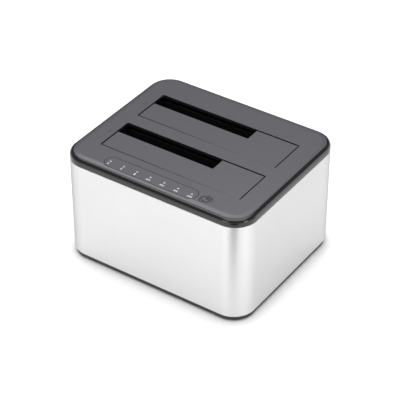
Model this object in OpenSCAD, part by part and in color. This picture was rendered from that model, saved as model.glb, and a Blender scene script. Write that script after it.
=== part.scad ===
// Two-bay hard drive docking station: an aluminium sleeve between a dark base and a dark top.
// Millimetres, +Z up, the front with the indicator row at -Y, origin on the table below the centre.

/* [Drive bays] */
// Length of each bay opening, for a 3.5 inch drive
bay_l = 103; // [102.6:0.1:108]
// Width of each bay opening, for the drive and its folded flap
bay_w = 28.9; // [28.5:0.1:33]
// Land between the two bays
bay_web = 10; // [9:0.5:16]
// Length of the open slot for a 2.5 inch drive
slot_l = 72.1; // [71:0.1:78]
// Width of the open slot
slot_w = 11.5; // [10:0.1:14]
// Radius in the corners of a bay opening
bay_corner_r = 1; // [0.5:0.1:2]

/* [Housing] */
// From the end of a bay to the side of the body
end_margin = 15.5; // [15:0.5:22]
// From the front bay to the front of the body
front_margin = 20.9; // [20.5:0.1:28]
// From the rear bay to the back of the body
rear_margin = 22.3; // [21.5:0.1:30]
// Outer radius of the upright corners
corner_r = 15; // [13:0.5:17]
// Height of the aluminium sleeve
sleeve_h = 68; // [66:1:84]
// Wall of the aluminium sleeve
sleeve_t = 1.5; // [1.2:0.1:2]
// Height of the dark strip of the base below the sleeve
strip_h = 3; // [2.5:0.1:5]
// How far that strip stands back from the sleeve
strip_inset = 1; // [0.6:0.1:1.1]
// Thickness of the base floor
base_t = 2; // [1.6:0.1:2.4]
// How far the rubber feet stand below the base
foot_h = 1; // [0.6:0.1:3]
// Radius of a rubber foot
foot_r = 6; // [4:0.5:7]

/* [Top] */
// Height of the bezel above the sleeve
bezel_h = 5.3; // [5:0.1:6.5]
// Width of the bezel seen from above
bezel_w = 2.1; // [1.9:0.1:2.8]
// Radius of the bezel's rounded shoulder
bezel_r = 3; // [2.9:0.1:4]
// Fine seam between the bezel and the top plate
seam = 0.3; // [0.15:0.05:0.4]
// Thickness of the top plate
plate_t = 2.4; // [2.2:0.1:3]
// How far the plate stands above the bezel's shoulder line
plate_rise = 0.3; // [0.1:0.1:0.6]
// Width of the plate's soft shoulder
shoulder_w = 3; // [2:0.1:3.4]
// Radius of that shoulder's curve
shoulder_r = 10; // [8:1:16]

/* [Flaps] */
// Thickness of a flap
flap_t = 2.2; // [1.6:0.1:2.2]
// How far a flap lies below the top plate's face
flap_drop = 0.2; // [0.2:0.1:0.6]
// Gap at the ends and the hinge side of a flap
flap_gap = 0.4; // [0.3:0.1:0.8]
// Gap at the free side of a flap
flap_rear_gap = 0.9; // [0.6:0.1:1.4]
// How far the hinge pin lies in front of the opening
hinge_setback = 1.6; // [1.4:0.1:2]
// Depth of the hinge pin below the top plate's face
hinge_drop = 3; // [2.9:0.1:3.4]
// Radius of the hinge pin
pin_r = 0.75; // [0.5:0.05:0.8]
// Wire radius of a flap spring
wire_r = 0.25; // [0.15:0.05:0.25]

/* [Indicators and button] */
// Number of indicator lamps
led_count = 7; // [3:1:7]
// Distance from lamp to lamp, and on to the button
led_pitch = 10; // [9:0.5:10.5]
// Radius of the visible end of a light pipe
led_r = 0.7; // [0.6:0.1:1.2]
// From the front of the body to the row of lamps
led_inset = 9.6; // [9.4:0.1:10.4]
// Width of the inlaid indicator strip
strip_w = 9.8; // [8:0.1:10]
// From the last lamp to the round end of the strip
strip_end = 3.6; // [3.2:0.1:4.2]
// Radius of the power button's face
button_r = 3.8; // [3:0.1:4.2]
// Travel of the power button
button_travel = 0.5; // [0.3:0.1:0.6]

/* [Hidden] */
$fn = 64;

// Clearances: fixed seats, plugged seats and running shafts
seat_gap = 0.15;
fit_gap = 0.02;
run_gap = 0.05;
hole_gap = 0.2;
head_gap = 0.3;
// How far a cutting shape runs past the face that it cuts
cut = 0.5;

// Overall box of the body
body_w = bay_l + 2 * end_margin;
body_d = front_margin + 2 * bay_w + bay_web + rear_margin;
front_y = -body_d / 2;
base_z = foot_h;
floor_z = base_z + base_t;
sleeve_z = base_z + strip_h;
bezel_z = sleeve_z + sleeve_h;
top_z = bezel_z + bezel_h + plate_rise;
under_z = top_z - plate_t;

// Bays: 0 is the front one and 1 the rear one
BAYS = [0, 1];
function bay_front(bay) = front_y + front_margin + bay * (bay_w + bay_web);
function bay_back(bay) = bay_front(bay) + bay_w;
function bay_mid(bay) = bay_front(bay) + bay_w / 2;

// Bezel: ledge under the plate and skirt inside the sleeve
ledge_w = 1.2;
ledge_t = 1.6;
skirt_t = 1.4;
skirt_h = 5;
reveal = 0.35;
plate_w = body_w - 2 * (bezel_w + seam);
plate_d = body_d - 2 * (bezel_w + seam);
plate_r = corner_r - bezel_w - seam;

// Base: wall behind the sleeve, board supports and vents
wall_t = 1.6;
upstand_h = 5;
upstand_inset = sleeve_t + seat_gap;
foot_recess = 0.4;
foot_inset = 20;
vent_l = 20;
vent_w = 2;
vent_pitch = 5;
vent_count = 9;
vent_y = 16;

// Screws: pillars that reach from the top plate to the base, and the heads
pillar_r = 3.4;
pillar_inset = 11.5;
pillar_x = body_w / 2 - pillar_inset;
pillar_y = body_d / 2 - pillar_inset;
case_boss_r = 4.6;
case_boss_h = 2;
case_screw_r = 1.4;
case_head_r = 2.8;
case_head_h = 2;
head_sink = 2.2;
small_screw_r = 1;
small_head_r = 2;
small_head_h = 1.4;
screw_grip = 4;

// Main board and what stands on it
board_lift = 4;
board_t = 1.6;
board_z = sleeve_z + board_lift;
board_top = board_z + board_t;
board_side_inset = 15;
board_front_inset = 7.5;
board_back_inset = 4.5;
board_front = front_y + board_front_inset;
board_back = body_d / 2 - board_back_inset;
board_l = body_w - 2 * board_side_inset;
support_r = 2.5;
support_from_post = 10;
chip_l = 9;
chip_h = 1.2;
chip_x = 17;
choke_l = 6.4;
choke_h = 2.8;
choke_from_end = 18;
choke_x = board_l / 2 - choke_from_end;
can_r = 3.15;
can_h = 11;
can_setback = 7;
can_pitch = 9;

// Drive sockets: the plug of both drive sizes lies at the same distance from the drive's edge
socket_l = 40;
socket_w = 6.4;
socket_h = 10;
socket_edge_x = 30.1;
socket_back_y = 3.5;
drive_side_gap = 0.7;
drive_back_gap = 0.5;
drive_t = 26.1;
plug_depth = 4.6;
power_key_l = 21.4;
data_key_l = 11.4;
key_web = 2.4;
key_w = 1.8;
key_foot = 1.4;
contact_pitch = 1.27;
contact_w = 0.7;
contact_t = 0.3;
contact_sink = 0.6;
key_spare = 1;
power_contacts = 15;
data_contacts = 7;
socket_x = -bay_l / 2 + drive_side_gap + socket_edge_x;
socket_top = board_top + socket_h;
function socket_y(bay) = bay_back(bay) - drive_back_gap - socket_back_y;

// Wells: one moulding for each bay
well_t = 1.6;
well_floor_z = socket_top - plug_depth;
well_bottom = well_floor_z - well_t;
boss_h = 3;
well_top = under_z - boss_h;
well_gap = 0.3;
swing_room = 1.8;
well_front = hinge_setback + swing_room;
flare = 2;
flare_depth = 24;
flare_z = top_z - hinge_drop - flare_depth;
rib_t = 1.6;
rib_clearance = 2;
rib_top = top_z - hinge_drop - bay_w - hinge_setback - rib_clearance;
rib_count = 4;
rib_pitch = 24;
lug_r = 3.2;
lug_t = 2.4;
lug_x = bay_l / 2 + flare + well_t + lug_r;
post_r = 3;
post_inset = 5.5;
post_x = bay_l / 2 - post_inset;
support_x = post_x - support_from_post;
function post_y(bay) = bay == 0 ? bay_front(0) + post_inset : bay_back(1) - post_inset;

// Flaps: the hinge line of each one and the pieces on it
barrel_wall = 0.65;
barrel_gap = 0.5;
barrel_r = pin_r + barrel_wall;
lip_t = 1.2;
lip_gap = 0.4;
leaf_l = 2.4;
knuckle_l = 20;
pin_end = 4;
boss_w = 4.4;
tab_l = 6;
tab_reach = 1.6;
tab_t = 1.5;
flap_rib_t = 1.2;
flap_rib_h = 1;
hinge_z = top_z - hinge_drop;
flap_top = top_z - flap_drop;
flap_bottom = flap_top - flap_t;
function hinge_y(bay) = bay_front(bay) - hinge_setback;

// Flap springs: close turns round the pin, one leg on the well and one under the flap
coil_gap = 0.2;
coil_r = pin_r + coil_gap + wire_r;
coil_pitch = 1;
coil_turns = 3;
coil_x = 14;
coil_steps = 8;
leg_l = 8;
leg_exit = 45;
wire_sides = 6;

// Indicator row: lamps, then the button one pitch further on
row_x = -led_count * led_pitch / 2;
row_y = front_y + led_inset;
button_x = row_x + led_count * led_pitch;
strip_t = 1.1;
strip_l = (led_count - 1) * led_pitch + 2 * strip_end;
strip_x = row_x + (led_count - 1) * led_pitch / 2;
guide_w = 4;
guide_t = 2;
guide_end = 2.5;
panel_depth = 7.2;
panel_t = 1.2;
panel_top = under_z - panel_depth;
panel_w = 9;
panel_boss_r = 2.6;
panel_boss_end = 8.6;
panel_edge = 0.4;
panel_end = panel_boss_end + panel_boss_r + panel_edge;
panel_left = row_x - panel_end;
panel_right = button_x + panel_end;
lamp_size = [1.6, 1.2, 0.7];
key_size = 6;
key_h = 3.5;
key_plunger_r = 1.7;
key_plunger_rise = 0.9;
key_plunger_l = 2;
button_flange = 0.8;
button_flange_t = 1.1;
button_stem_r = 1.5;
button_sink = 0.05;

// Ribbon between the two boards
ribbon_x = 8;
ribbon_w = 8;
ribbon_t = 0.3;
ribbon_bow = 2.5;
ribbon_steps = 12;
ribbon_socket = [11, 4, 2];

// Ports at the back
port_w = 56;
port_h = 16;
port_drop = 0.6;
port_z = board_z - port_drop;
port_r = 3;
port_flange = 2;
port_flange_t = 1.2;
port_sink = 0.3;
port_x = 14;
port_recess = 1.1;
port_face = body_d / 2 - port_recess;
usb_w = 12;
usb_h = 11.2;
usb_l = 16;
usb_wall = 0.5;
usb_step_w = 6.4;
usb_lower_h = 7;
usb_tongue_w = 5.6;
usb_tongue_h = 3.2;
usb_tongue_l = 9;
usb_back_t = 3;
jack_w = 9;
jack_h = 11;
jack_l = 14;
jack_r = 3.2;
jack_depth = 10;
jack_pin_r = 1;
jack_pin_sink = 1;
jack_axis_h = 6.2;
jack_axis_z = board_top + jack_axis_h;
jack_nose = 3;
jack_nose_r = 4;

function unit(v) = v / norm(v);

// Rectangle with round corners, centred
module rounded_rect(w, d, r) {
    square([w - 2 * r, d], center = true);
    square([w, d - 2 * r], center = true);
    for (x = [-1, 1], y = [-1, 1])
        translate([x * (w / 2 - r), y * (d / 2 - r)])
            circle(r);
}

module rounded_slab(w, d, r, z, h) {
    translate([0, 0, z])
        linear_extrude(h)
            rounded_rect(w, d, r);
}

// Upright ring between two insets from the outline of the body
module outline_ring(outer, inner, z, h) {
    difference() {
        rounded_slab(body_w - 2 * outer, body_d - 2 * outer, corner_r - outer, z, h);
        rounded_slab(body_w - 2 * inner, body_d - 2 * inner, corner_r - inner, z - cut, h + 2 * cut);
    }
}

// Carries a profile round a rounded rectangle; the profile's x starts at the corner centres
module outline_sweep(w, d, r) {
    for (turn = [0:3]) {
        long = turn % 2 == 0 ? w : d;
        deep = turn % 2 == 0 ? d : w;
        rotate(90 * turn) {
            translate([r - long / 2, deep / 2 - r, 0])
                rotate([90, 0, 90])
                    linear_extrude(long - 2 * r)
                        children();
            translate([long / 2 - r, deep / 2 - r, 0])
                rotate_extrude(angle = 90)
                    children();
        }
    }
}

// Block given by its two corners
module block(low, high) {
    translate(low)
        cube(high - low);
}

module peg(x, y, z, r, h) {
    translate([x, y, z])
        cylinder(r = r, h = h);
}

// Round bar along X, centred on x = 0
module bar_x(y, z, r, l) {
    translate([-l / 2, y, z])
        rotate([0, 90, 0])
            cylinder(r = r, h = l);
}

// Round bar along Y, from y to y + l
module bar_y(x, y, z, r, l) {
    translate([x, y, z])
        rotate([-90, 0, 0])
            cylinder(r = r, h = l);
}

// Upright plate in the back wall with round corners
module port_plate(w, h, r, y, t) {
    translate([0, y + t, port_z + port_h / 2])
        rotate([90, 0, 0])
            linear_extrude(t)
                rounded_rect(w, h, r);
}

module at_pillars() {
    for (x = [-1, 1], y = [-1, 1])
        translate([x * pillar_x, y * pillar_y, 0])
            children();
}

module at_lugs(bays = BAYS) {
    for (x = [-1, 1], bay = bays)
        translate([x * lug_x, bay_mid(bay), 0])
            rotate(x > 0 ? 0 : 180)
                children();
}

module at_posts(bays = BAYS) {
    for (x = [-1, 1], bay = bays)
        translate([x * post_x, post_y(bay), 0])
            children();
}

module at_panel_bosses() {
    for (x = [row_x - panel_boss_end, button_x + panel_boss_end])
        translate([x, row_y, 0])
            children();
}

// Screw that points up, with its head below z
module screw(z, shank_r, shank_l, head_r, head_h) {
    cross_l = head_r * 1.2;
    cross_w = head_r * 0.3;
    difference() {
        union() {
            peg(0, 0, z - head_h, head_r, head_h);
            peg(0, 0, z, shank_r, shank_l);
        }
        for (turn = [0, 90])
            rotate(turn)
                block(
                    [-cross_l / 2, -cross_w / 2, z - head_h - cut],
                    [cross_l / 2, cross_w / 2, z - head_h / 2]
                );
    }
}

// Housing

module outer_sleeve() {
    color("gainsboro")
        difference() {
            outline_ring(0, sleeve_t, sleeve_z, sleeve_h);
            port_plate(port_w, port_h, port_r, body_d / 2 - 2 * sleeve_t, 4 * sleeve_t);
        }
}

module bezel_profile() {
    outer = corner_r;
    difference() {
        union() {
            intersection() {
                translate([outer - bezel_w, bezel_z])
                    square([bezel_w, bezel_h]);
                union() {
                    translate([outer - bezel_r, bezel_z + bezel_h - bezel_r])
                        circle(bezel_r);
                    translate([outer - bezel_w, bezel_z])
                        square([bezel_w, bezel_h - bezel_r]);
                }
            }
            translate([outer - bezel_w - seam - ledge_w, under_z - ledge_t])
                square([bezel_w + seam + ledge_w - reveal, ledge_t]);
            translate([outer - sleeve_t - seat_gap - skirt_t, bezel_z - skirt_h])
                square([skirt_t, skirt_h + under_z - ledge_t - bezel_z + cut]);
        }
        translate([outer - reveal, bezel_z - cut])
            square([reveal + cut, reveal + cut]);
    }
}

module top_bezel() {
    color("#26262a")
        outline_sweep(body_w, body_d, corner_r)
            bezel_profile();
}

// Flat plate whose upper face curves down a little towards its edge
module plate_blank() {
    block(
        [plate_r - plate_w / 2, plate_r - plate_d / 2, under_z],
        [plate_w / 2 - plate_r, plate_d / 2 - plate_r, top_z]
    );
    outline_sweep(plate_w, plate_d, plate_r)
        union() {
            translate([0, under_z])
                square([plate_r - shoulder_w, plate_t]);
            intersection() {
                translate([0, under_z])
                    square([plate_r, plate_t]);
                translate([plate_r - shoulder_w, top_z - shoulder_r])
                    circle(shoulder_r);
            }
        }
}

module bay_opening(bay) {
    translate([0, bay_mid(bay), under_z - cut])
        linear_extrude(plate_t + 2 * cut)
            rounded_rect(bay_l, bay_w, bay_corner_r);
}

// Room for the hinge barrel under a thin lip in front of the opening
module hinge_channel(bay) {
    block(
        [-bay_l / 2 - seat_gap, hinge_y(bay) - barrel_r - barrel_gap, under_z - cut],
        [bay_l / 2 + seat_gap, bay_front(bay) + bay_corner_r, top_z - lip_t]
    );
}

module hinge_bosses(bay) {
    for (x = [-1, 1])
        translate([x * (bay_l / 2 + flap_gap + pin_end / 2), hinge_y(bay), 0])
            block(
                [-pin_end / 2, -boss_w / 2, hinge_z - boss_w / 2],
                [pin_end / 2, boss_w / 2, under_z + cut]
            );
}

// Outline of the inlaid strip, with round ends
module strip_outline(grow) {
    half = strip_l / 2 - strip_w / 2;
    translate([strip_x, row_y]) {
        square([2 * half, strip_w + 2 * grow], center = true);
        for (x = [-half, half])
            translate([x, 0])
                circle(strip_w / 2 + grow);
    }
}

module at_lamps() {
    for (lamp = [0:led_count - 1])
        translate([row_x + lamp * led_pitch, row_y, 0])
            children();
}

module top_plate() {
    pillar_z = floor_z + case_boss_h;
    color("#6b6b71")
        difference() {
            union() {
                plate_blank();
                at_pillars()
                    peg(0, 0, pillar_z, pillar_r, under_z - pillar_z + cut);
                at_lugs()
                    peg(0, 0, well_top, lug_r, under_z - well_top + cut);
                at_panel_bosses()
                    peg(0, 0, panel_top, panel_boss_r, under_z - panel_top + cut);
                for (bay = BAYS)
                    hinge_bosses(bay);
            }
            for (bay = BAYS) {
                bay_opening(bay);
                hinge_channel(bay);
                bar_x(hinge_y(bay), hinge_z, pin_r + fit_gap, bay_l + 2 * flap_gap + 2 * pin_end + cut);
            }
            translate([0, 0, top_z - strip_t - fit_gap])
                linear_extrude(strip_t + cut)
                    strip_outline(seat_gap);
            at_lamps()
                peg(0, 0, under_z - cut, led_r + seat_gap, plate_t);
            peg(button_x, row_y, under_z - cut, button_r + seat_gap, plate_t + 2 * cut);
            at_pillars()
                peg(0, 0, pillar_z - cut, case_screw_r + run_gap, 4 * screw_grip);
            at_lugs()
                peg(0, 0, well_top - cut, small_screw_r + run_gap, screw_grip + cut);
            at_panel_bosses()
                peg(0, 0, panel_top - cut, small_screw_r + run_gap, screw_grip + 2 * cut);
        }
}

module base_tray() {
    inner = sleeve_t + seat_gap + wall_t;
    strip_outer = strip_inset;
    vent_span = (vent_count - 1) * vent_pitch;
    color("#3a3a3e")
        difference() {
            union() {
                rounded_slab(
                    body_w - 2 * strip_outer, body_d - 2 * strip_outer, corner_r - strip_outer,
                    base_z, base_t
                );
                outline_ring(strip_outer, inner, base_z, strip_h);
                outline_ring(upstand_inset, inner, base_z, strip_h + upstand_h);
                at_pillars()
                    peg(0, 0, base_z, case_boss_r, base_t + case_boss_h);
                for (x = [-1, 1], bay = BAYS)
                    peg(x * support_x, socket_y(bay), base_z, support_r, board_z - base_z);
            }
            at_pillars() {
                peg(0, 0, base_z - cut, case_head_r + head_gap, head_sink + cut);
                peg(0, 0, base_z, case_screw_r + hole_gap, base_t + case_boss_h + cut);
            }
            at_feet()
                peg(0, 0, base_z - cut, foot_r + seat_gap, foot_recess + cut);
            for (y = [-1, 1], vent = [0:vent_count - 1])
                translate([vent * vent_pitch - vent_span / 2, y * vent_y, 0])
                    block([-vent_w / 2, -vent_l / 2, 0], [vent_w / 2, vent_l / 2, floor_z + cut]);
            block(
                [-port_w / 2 - port_flange - seat_gap, body_d / 2 - inner - cut, sleeve_z + seat_gap],
                [port_w / 2 + port_flange + seat_gap, body_d / 2, board_top + port_h]
            );
        }
}

module at_feet() {
    for (x = [-1, 1], y = [-1, 1])
        translate([x * (body_w / 2 - foot_inset), y * (body_d / 2 - foot_inset), 0])
            children();
}

module rubber_feet() {
    edge = foot_h / 2;
    color("#1c1c1c")
        at_feet()
            rotate_extrude()
                polygon([
                    [0, 0], [foot_r - edge, 0], [foot_r, edge],
                    [foot_r, base_z + foot_recess], [0, base_z + foot_recess]
                ]);
}

module port_panel() {
    flange_y = body_d / 2 - sleeve_t - seat_gap - port_flange_t;
    color("#2b2b2e")
        difference() {
            union() {
                port_plate(
                    port_w - 2 * seat_gap, port_h - 2 * seat_gap, port_r - seat_gap,
                    flange_y, sleeve_t + seat_gap + port_flange_t - port_sink
                );
                port_plate(
                    port_w + 2 * port_flange, port_h + 2 * port_flange, port_r,
                    flange_y, port_flange_t
                );
            }
            block(
                [-port_x - usb_w / 2 - seat_gap, flange_y - cut, board_top - seat_gap],
                [-port_x + usb_w / 2 + seat_gap, body_d / 2, board_top + usb_h + seat_gap]
            );
            bar_y(port_x, flange_y - cut, jack_axis_z, jack_nose_r + hole_gap, 4 * sleeve_t);
        }
}

// Drive bays

// Inside of a well: a straight lower part and a longer mouth where the flap swings
module well(bay, grow, low, high) {
    half = bay_l / 2 + well_gap + grow;
    mouth = bay_l / 2 + flare + grow;
    front = bay_front(bay) - well_front - grow;
    back = bay_back(bay) + well_gap + grow;
    block([-half, front, low], [half, back, high]);
    block([-mouth, front, flare_z - grow], [mouth, back, high]);
}

// Well that takes a drive, with lugs under the top plate and posts on the board
module drive_well(bay) {
    reach = [socket_l / 2 + well_gap, socket_w / 2 + well_gap];
    color("#1a1a1c")
        difference() {
            union() {
                difference() {
                    well(bay, well_t, well_bottom, well_top);
                    well(bay, 0, well_floor_z, well_top + cut);
                }
                guide_ribs(bay);
                at_lugs([bay]) {
                    peg(0, 0, well_top - lug_t, lug_r, lug_t);
                    block([-lug_r - cut, -lug_r, well_top - lug_t], [0, lug_r, well_top]);
                }
                at_posts([bay])
                    peg(0, 0, board_top, post_r, well_floor_z - board_top);
            }
            block(
                [socket_x - reach[0], socket_y(bay) - reach[1], board_top],
                [socket_x + reach[0], socket_y(bay) + reach[1], socket_top]
            );
            at_lugs([bay])
                peg(0, 0, well_top - lug_t - cut, small_screw_r + hole_gap, lug_t + 2 * cut);
            at_posts([bay])
                peg(0, 0, board_top - cut, small_screw_r + run_gap, screw_grip + cut);
        }
}

module front_drive_well() {
    drive_well(0);
}

module rear_drive_well() {
    drive_well(1);
}

// Upright ribs with sloped heads that hold a drive against the back of its well
module guide_ribs(bay) {
    wall = bay_front(bay) - well_front - well_t / 2;
    face = bay_back(bay) - drive_back_gap - drive_t - drive_back_gap;
    for (rib = [0:rib_count - 1])
        translate([(rib - (rib_count - 1) / 2) * rib_pitch - rib_t / 2, 0, 0])
            rotate([90, 0, 90])
                linear_extrude(rib_t)
                    polygon([
                        [wall, well_floor_z - well_t / 2], [face, well_floor_z - well_t / 2],
                        [face, rib_top - (face - wall)], [wall, rib_top]
                    ]);
}

// Plan of a flap's face: the bay less the open slot at the rear left
module flap_plan(bay) {
    left = -bay_l / 2 + flap_gap;
    right = bay_l / 2 - flap_gap;
    front = bay_front(bay) + flap_gap;
    back = bay_back(bay) - flap_rear_gap;
    slot_x = -bay_l / 2 + slot_l;
    slot_y = bay_back(bay) - slot_w;
    polygon([
        [left, front], [right, front], [right, back],
        [slot_x, back], [slot_x, slot_y], [left, slot_y]
    ]);
}

// Stop tab that reaches under the top plate beside the opening
module stop_tab(bay, x, from_hinge) {
    y = hinge_y(bay) + from_hinge;
    end = bay_l / 2 - flap_gap;
    low = under_z - seat_gap - tab_t;
    translate([x * end, y, 0]) {
        block([-tab_reach, 0, low], [tab_reach, tab_l, under_z - seat_gap]);
        translate([x > 0 ? -tab_reach : 0, 0, low])
            cube([tab_reach, tab_l, flap_bottom - low + cut]);
    }
}

module flap(bay) {
    end = bay_l / 2 - flap_gap;
    slot_y = bay_back(bay) - slot_w;
    rib_front = bay_front(bay) + 2 * leaf_l;
    difference() {
        union() {
            translate([0, 0, flap_bottom])
                linear_extrude(flap_t)
                    flap_plan(bay);
            for (x = [-end, -knuckle_l / 2, end - knuckle_l]) {
                translate([x + knuckle_l / 2, 0, 0])
                    bar_x(hinge_y(bay), hinge_z, barrel_r, knuckle_l);
                block(
                    [x, hinge_y(bay), hinge_z - pin_r],
                    [x + knuckle_l, hinge_y(bay) + hinge_setback + leaf_l, top_z - lip_t - lip_gap]
                );
            }
            for (x = [-bay_l / 3, bay_l / 3])
                block(
                    [x - flap_rib_t / 2, rib_front, flap_bottom - flap_rib_h],
                    [x + flap_rib_t / 2, slot_y - flap_rib_t, flap_bottom + cut]
                );
            block(
                [-end + flap_rib_t, slot_y - 2 * flap_rib_t, flap_bottom - flap_rib_h],
                [end - flap_rib_t, slot_y - flap_rib_t, flap_bottom + cut]
            );
            stop_tab(bay, -1, bay_w / 4);
            stop_tab(bay, 1, bay_w / 2);
        }
        bar_x(hinge_y(bay), hinge_z, pin_r + run_gap, bay_l);
    }
}

module front_flap() {
    color("#6b6b71")
        flap(0);
}

module rear_flap() {
    color("#6b6b71")
        flap(1);
}

module hinge_pin(bay) {
    color("silver")
        bar_x(hinge_y(bay), hinge_z, pin_r, bay_l + 2 * flap_gap + 2 * pin_end - cut);
}

module front_hinge_pin() {
    hinge_pin(0);
}

module rear_hinge_pin() {
    hinge_pin(1);
}

// Path of a flap spring: up the well's wall, round the pin, out under the flap
spring_end = 180 - 360 * coil_turns - (180 - leg_exit);
spring_count = (180 - spring_end) / 360 * coil_steps;
spring_reach = coil_pitch * (180 - spring_end) / 360;
leg_z = flap_bottom - hinge_z - wire_r - seat_gap;
leg_drop = coil_r * sin(leg_exit) - leg_z;

function spring_turn(step) = let (angle = 180 - step * 360 / coil_steps)
    [coil_pitch * step / coil_steps, coil_r * cos(angle), coil_r * sin(angle)];

spring_path = concat(
    [[0, -coil_r, -leg_l]],
    [for (step = [0:spring_count]) spring_turn(step)],
    [
        [spring_reach, coil_r * cos(leg_exit) + leg_drop, leg_z],
        [spring_reach, coil_r + leg_l, leg_z]
    ]
);

// Least distance between turns, less the wire
spring_gap = min([
    for (a = [0:len(spring_path) - 1], b = [a + coil_steps / 2:len(spring_path) - 1])
        norm(spring_path[a] - spring_path[b])
]) - 2 * wire_r;
echo(spring_gap = spring_gap);

// Tube of flat faces along a path that never runs along X
module tube(path, r, sides) {
    last = len(path) - 1;
    rings = [
        for (i = [0:last])
            let (
                along = unit(path[min(i + 1, last)] - path[max(i - 1, 0)]),
                across = unit([1, 0, 0] - along * along[0]),
                third = cross(along, across)
            )
            for (side = [0:sides - 1])
                path[i] + r * (cos(360 * side / sides) * across + sin(360 * side / sides) * third)
    ];
    skin = [
        for (i = [0:last - 1], side = [0:sides - 1])
            let (
                near = i * sides + side,
                next = i * sides + (side + 1) % sides
            )
            each [[near, near + sides, next], [next, near + sides, next + sides]]
    ];
    caps = [
        for (side = [1:sides - 2])
            each [[0, side, side + 1], [last * sides, last * sides + side + 1, last * sides + side]]
    ];
    polyhedron(rings, concat(skin, caps));
}

module flap_spring(bay) {
    color("silver")
        translate([coil_x, hinge_y(bay), hinge_z])
            tube(spring_path, wire_r, wire_sides);
}

module front_flap_spring() {
    flap_spring(0);
}

module rear_flap_spring() {
    flap_spring(1);
}

// Drive sockets

// Key slot of one connector half: a long slot with a short foot at its left end
module key_slot(x, l, y) {
    depth = plug_depth + key_spare;
    block([x, y - key_w / 2, socket_top - depth], [x + l, y + key_w / 2, socket_top + cut]);
    block([x, y - key_w / 2 - key_foot, socket_top - depth], [x + key_w, y, socket_top + cut]);
}

power_key_x = socket_x - (power_key_l + key_web + data_key_l) / 2;
data_key_x = power_key_x + power_key_l + key_web;

module drive_socket(bay) {
    y = socket_y(bay);
    color("#101012")
        difference() {
            block(
                [socket_x - socket_l / 2, y - socket_w / 2, board_top],
                [socket_x + socket_l / 2, y + socket_w / 2, socket_top]
            );
            key_slot(power_key_x, power_key_l, y);
            key_slot(data_key_x, data_key_l, y);
        }
}

module front_drive_socket() {
    drive_socket(0);
}

module rear_drive_socket() {
    drive_socket(1);
}

module contact_row(bay, key_x, key_l, count) {
    y = socket_y(bay) + key_w / 2;
    first = key_x + (key_l + key_w) / 2 - (count - 1) * contact_pitch / 2;
    for (contact = [0:count - 1])
        translate([first + contact * contact_pitch, y, 0])
            block(
                [-contact_w / 2, -contact_t, socket_top - plug_depth - key_spare],
                [contact_w / 2, 0, socket_top - contact_sink]
            );
}

module drive_socket_contacts() {
    color("gold")
        for (bay = BAYS) {
            contact_row(bay, power_key_x, power_key_l, power_contacts);
            contact_row(bay, data_key_x, data_key_l, data_contacts);
        }
}

// Electronics

module main_board() {
    color("darkgreen")
        difference() {
            block([-board_l / 2, board_front, board_z], [board_l / 2, board_back, board_top]);
            at_posts()
                peg(0, 0, board_z - cut, small_screw_r + hole_gap, board_t + 2 * cut);
        }
}

// Flat part on the main board, centred at x and y
module board_part(x, y, l, w, h) {
    translate([x - l / 2, y - w / 2, board_top])
        cube([l, w, h]);
}

module bridge_chips() {
    color("#18181a")
        for (bay = BAYS)
            board_part(chip_x, bay_mid(bay), chip_l, chip_l, chip_h);
}

module power_coils() {
    color("#4a4a4c")
        for (bay = BAYS)
            board_part(choke_x, bay_mid(bay), choke_l, choke_l, choke_h);
}

module capacitors() {
    color("#2d3550")
        for (x = [-1, 1], step = [0, 1])
            peg(x * (port_x + usb_w + step * can_pitch), board_back - can_setback, board_top, can_r, can_h);
}

module usb_opening(y, l) {
    floor_h = board_top + usb_wall;
    block(
        [-port_x - usb_w / 2 + usb_wall, y, floor_h],
        [-port_x + usb_w / 2 - usb_wall, y + l, floor_h + usb_lower_h]
    );
    block(
        [-port_x - usb_step_w / 2, y, floor_h],
        [-port_x + usb_step_w / 2, y + l, board_top + usb_h - usb_wall]
    );
}

module usb_shell() {
    back = port_face - usb_l;
    color("silver")
        difference() {
            block(
                [-port_x - usb_w / 2, back, board_top],
                [-port_x + usb_w / 2, port_face, board_top + usb_h]
            );
            usb_opening(back + usb_back_t, usb_l);
        }
}

module usb_tongue() {
    root = port_face - usb_l + usb_back_t;
    middle = board_top + usb_wall + usb_lower_h / 2;
    color("#1d4fa0")
        block(
            [-port_x - usb_tongue_w / 2, root, middle - usb_tongue_h / 2],
            [-port_x + usb_tongue_w / 2, root + usb_tongue_l, middle + usb_tongue_h / 2]
        );
}

module dc_jack() {
    color("#141416")
        difference() {
            block(
                [port_x - jack_w / 2, port_face - jack_l, board_top],
                [port_x + jack_w / 2, port_face - jack_nose, board_top + jack_h]
            );
            bar_y(port_x, port_face - jack_depth, jack_axis_z, jack_r, jack_depth + cut);
        }
    color("#141416")
        difference() {
            bar_y(port_x, port_face - jack_nose, jack_axis_z, jack_nose_r, jack_nose);
            bar_y(port_x, port_face - jack_depth, jack_axis_z, jack_r, jack_depth + cut);
        }
}

module dc_pin() {
    color("silver")
        bar_y(port_x, port_face - jack_depth, jack_axis_z, jack_pin_r, jack_depth - jack_pin_sink);
}

// Indicators and power button

module indicator_strip() {
    color("#66666c")
        difference() {
            translate([0, 0, top_z - strip_t])
                linear_extrude(strip_t)
                    strip_outline(0);
            at_lamps()
                peg(0, 0, top_z - strip_t - cut, led_r + fit_gap, strip_t + 2 * cut);
        }
}

module light_guide() {
    bar_left = row_x - guide_end;
    bar_right = row_x + (led_count - 1) * led_pitch + guide_end;
    pipe_z = panel_top + lamp_size[2] + seat_gap;
    color("white") {
        block(
            [bar_left, row_y - guide_w / 2, under_z - guide_t],
            [bar_right, row_y + guide_w / 2, under_z]
        );
        at_lamps()
            peg(0, 0, pipe_z, led_r, top_z - pipe_z);
    }
}

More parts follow.
